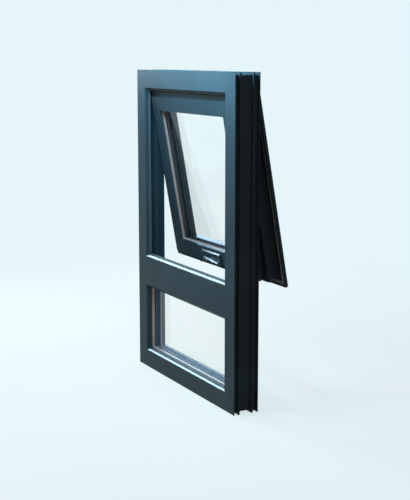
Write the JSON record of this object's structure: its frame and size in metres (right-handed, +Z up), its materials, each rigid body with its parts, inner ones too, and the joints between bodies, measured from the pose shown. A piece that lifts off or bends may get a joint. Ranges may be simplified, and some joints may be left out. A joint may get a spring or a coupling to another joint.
{
  "type": "window with top-hung sash and crank handle",
  "caption": "Dark coated aluminium window: fixed glazed light below a transom, top-hung sash above, open, with stays and a folding crank handle that works its lock rod.",
  "frame": {"origin": "underside of the sill, mid-width, on the centre line of the inner seat rib, 21 mm outward of the interior face", "axes": "+Z up, +Y outward through the wall, +X to the right as seen from inside"},
  "size_m": [0.8, 0.2385, 1.2],
  "materials": {
    "frame_coat": "satin",
    "bead_coat": "satin",
    "crank_coat": "satin",
    "gasket": "matte",
    "glazing_gasket": "matte",
    "flange_seal": "matte",
    "spacer": "matte",
    "warm_spacer": "matte",
    "glass": "gloss",
    "setting_plastic": "matte",
    "cleat": "satin",
    "screw_steel": "satin",
    "hardware_steel": "satin",
    "case_zinc": "satin",
    "knob_plastic": "matte"
  },
  "bodies": {
    "frame": {"frame_head": "frame_coat", "frame_sill": "frame_coat", "frame_jamb_left": "frame_coat", "frame_jamb_right": "frame_coat", "frame_transom": "frame_coat", "frame_cleats": "cleat", "stop_gasket": "gasket", "rebate_gasket": "gasket", "light_stop_top": "frame_coat", "light_stop_bottom": "frame_coat", "light_stop_left": "frame_coat", "light_stop_right": "frame_coat", "light_bead_top": "bead_coat", "light_bead_bottom": "bead_coat", "light_bead_left": "bead_coat", "light_bead_right": "bead_coat", "light_gasket_inner": "glazing_gasket", "light_gasket_outer": "gasket", "light_spacer": "spacer", "light_panes": "glass", "light_blocks": "setting_plastic", "hinge_leaf_frame": "frame_coat", "hinge_pin": "screw_steel", "frame_screws": "screw_steel", "stay_track_left": "hardware_steel", "stay_track_right": "hardware_steel", "keepers": "hardware_steel"},
    "sash": {"sash_rail_top": "frame_coat", "sash_rail_bottom": "frame_coat", "sash_stile_left": "frame_coat", "sash_stile_right": "frame_coat", "sash_cleats": "cleat", "sash_bead_top": "bead_coat", "sash_bead_bottom": "bead_coat", "sash_bead_left": "bead_coat", "sash_bead_right": "bead_coat", "flange_gasket": "flange_seal", "sash_gasket_inner": "glazing_gasket", "sash_gasket_outer": "gasket", "sash_spacer": "warm_spacer", "sash_panes": "glass", "sash_blocks": "setting_plastic", "hinge_leaf_sash": "frame_coat", "sash_screws": "screw_steel", "stay_bracket_left": "hardware_steel", "stay_bracket_right": "hardware_steel", "crank_base": "crank_coat", "crank_cover": "crank_coat", "crank_screws": "screw_steel", "gear_case": "case_zinc"},
    "stay_arm_left": {"stay_arm_left": "hardware_steel"},
    "stay_arm_right": {"stay_arm_right": "hardware_steel"},
    "stay_shoe_left": {"stay_shoe_left": "hardware_steel"},
    "stay_shoe_right": {"stay_shoe_right": "hardware_steel"},
    "lock_rod": {"lock_rod": "hardware_steel"},
    "crank": {"crank_spindle": "crank_coat", "fold_pin": "screw_steel"},
    "handle": {"crank_arm": "crank_coat", "knob_pin": "screw_steel"},
    "knob": {"crank_knob": "knob_plastic"}
  },
  "joints": [
    {"name": "sash_swing", "type": "hinge", "parent": "frame", "child": "sash", "pos_m": [0, 0.083, 1.163], "axis": [1, 0, 0], "range_deg": [-10.05, 24.9]},
    {"name": "stay_left_pivot", "type": "hinge", "parent": "sash", "child": "stay_arm_left", "pos_m": [-0.3445, 0.08892, 1.05316], "axis": [1, 0, 0], "range_deg": [-50, 20.3]},
    {"name": "stay_left_shoe", "type": "hinge", "parent": "stay_arm_left", "child": "stay_shoe_left", "pos_m": [-0.3445, 0.0566, 0.94801], "axis": [1, 0, 0], "range_deg": [-10.2, 25]},
    {"name": "stay_right_pivot", "type": "hinge", "parent": "sash", "child": "stay_arm_right", "pos_m": [0.3445, 0.08892, 1.05316], "axis": [1, 0, 0], "range_deg": [-50, 20.3]},
    {"name": "stay_right_shoe", "type": "hinge", "parent": "stay_arm_right", "child": "stay_shoe_right", "pos_m": [0.3445, 0.0566, 0.94801], "axis": [1, 0, 0], "range_deg": [-10.2, 25]},
    {"name": "crank_turn", "type": "hinge", "parent": "sash", "child": "crank", "pos_m": [0.056, 0.10786, 0.48307], "axis": [0, 0.9845, 0.1751], "range_deg": [0, 180]},
    {"name": "lock_rod_slide", "type": "slide", "parent": "sash", "child": "lock_rod", "axis": [-1, 0, 0], "range_m": [0, 0.01572]},
    {"name": "handle_fold", "type": "hinge", "parent": "crank", "child": "handle", "pos_m": [0.04203, 0.09392, 0.48148], "axis": [0.0628, -0.1748, 0.9826], "range_deg": [0, 95]},
    {"name": "knob_spin", "type": "hinge", "parent": "handle", "child": "knob", "pos_m": [-0.04583, 0.09107, 0.48608], "axis": [0, 0.9845, 0.1751], "continuous": true}
  ],
  "couplings": [
    {"joint": "stay_left_pivot", "follows": "sash_swing", "ratio": -2},
    {"joint": "stay_left_shoe", "follows": "sash_swing", "ratio": 1},
    {"joint": "stay_right_pivot", "follows": "sash_swing", "ratio": -2},
    {"joint": "stay_right_shoe", "follows": "sash_swing", "ratio": 1},
    {"joint": "lock_rod_slide", "follows": "crank_turn", "m_per_rad": 0.005}
  ]
}
